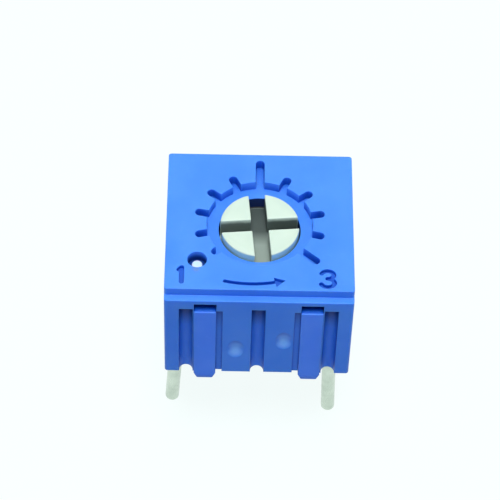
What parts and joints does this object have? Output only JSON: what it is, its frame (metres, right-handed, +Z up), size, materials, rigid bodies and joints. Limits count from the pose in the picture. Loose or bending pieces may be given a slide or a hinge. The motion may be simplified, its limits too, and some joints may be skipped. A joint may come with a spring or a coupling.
{
  "type": "trimmer potentiometer",
  "caption": "Small square single-turn trimmer potentiometer: moulded blue housing with a cross-slot rotor in a notched dial, standoff feet and wire leads below.",
  "frame": {"origin": "on the rotor's axis, in the plane of the circuit board that the four standoff feet rest on", "axes": "+Z up along the rotor's axis, out of the face with the driver slot; +X from terminal 1 to terminal 3; the front, with terminals 1 and 3, faces -Y"},
  "size_m": [0.0067, 0.0068, 0.0095],
  "materials": {
    "blue_plastic": "moulded, satin",
    "blue_base_plastic": "moulded, satin",
    "resin": "cast epoxy",
    "cream_plastic": "moulded, satin",
    "seal_rubber": "smooth",
    "spring_alloy": "bright rolled sheet",
    "ceramic": "fired alumina",
    "resistive_film": "fired film",
    "conductor_film": "fired silver film",
    "tinned_wire": "dull tin",
    "solder": "bright solder"
  },
  "bodies": {
    "case": {"housing": "blue_plastic", "base": "blue_base_plastic", "potting": "resin", "substrate": "ceramic", "resistive_track": "resistive_film", "collector_track": "conductor_film", "end_pad_1": "conductor_film", "end_pad_3": "conductor_film", "terminal_1": "tinned_wire", "terminal_2": "tinned_wire", "terminal_3": "tinned_wire", "solder_joint_1": "solder", "solder_joint_2": "solder", "solder_joint_3": "solder"},
    "rotor": {"rotor": "cream_plastic", "seal_ring": "seal_rubber", "wiper": "spring_alloy"}
  },
  "joints": [
    {"name": "rotor_turn", "type": "hinge", "parent": "case", "child": "rotor", "pos_m": [0, 0, 0], "axis": [0, 0, 1], "range_deg": [-135.2, 124.8]}
  ]
}
